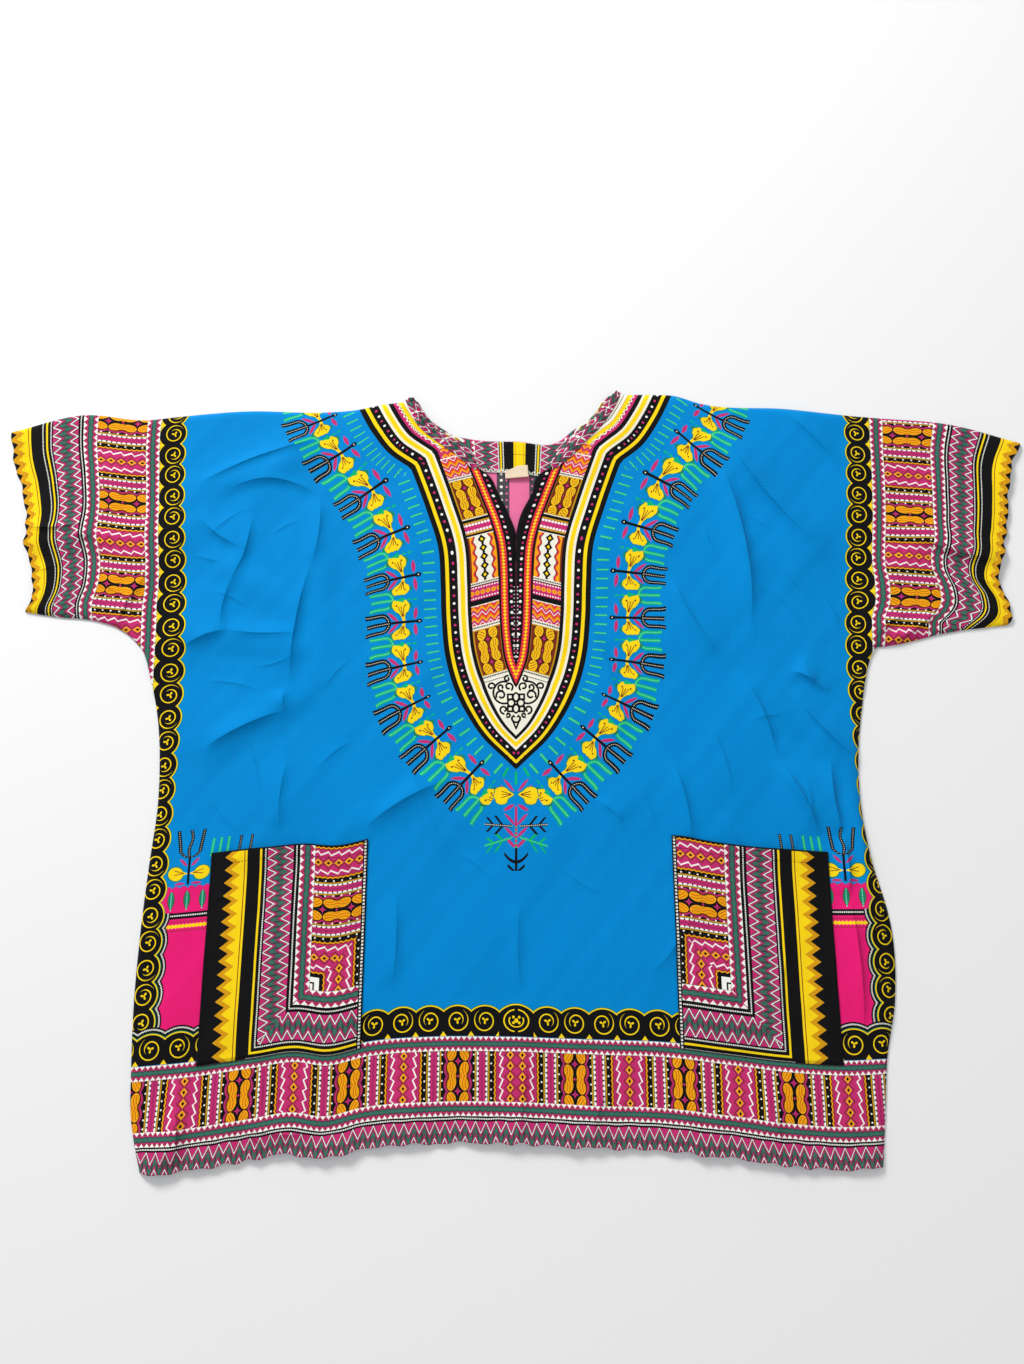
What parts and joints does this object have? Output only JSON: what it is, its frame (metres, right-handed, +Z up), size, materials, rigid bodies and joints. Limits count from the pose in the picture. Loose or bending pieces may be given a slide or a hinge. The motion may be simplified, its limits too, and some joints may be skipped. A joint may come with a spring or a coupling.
{
  "type": "dashiki shirt",
  "caption": "Short-sleeved pullover dashiki shirt laid flat, T-shaped, with a V slit neck, patch pockets and bordered print.",
  "frame": {"origin": "middle of the shirt's bounding box, on the surface that it lies on", "axes": "+X towards the right-hand sleeve as seen from above, +Y from the hem towards the neck, +Z up out of the front"},
  "size_m": [1.138, 0.8179, 0.0098],
  "materials": {
    "printed_cotton": "plain-woven wax-print cotton, matt with a slight sheen, blue field with black, gold, magenta and green borders",
    "pocket_cotton": "plain-woven wax-print cotton, border part of the same print in black, yellow, magenta and gold",
    "facing_cotton": "strip of the same print, overlocked with white thread",
    "label_tape": "blank beige woven tape"
  },
  "bodies": {
    "root": {"front": "printed_cotton", "back": "printed_cotton", "pocket_left": "pocket_cotton", "pocket_right": "pocket_cotton", "neck_facing": "facing_cotton", "label": "label_tape"}
  },
  "joints": []
}
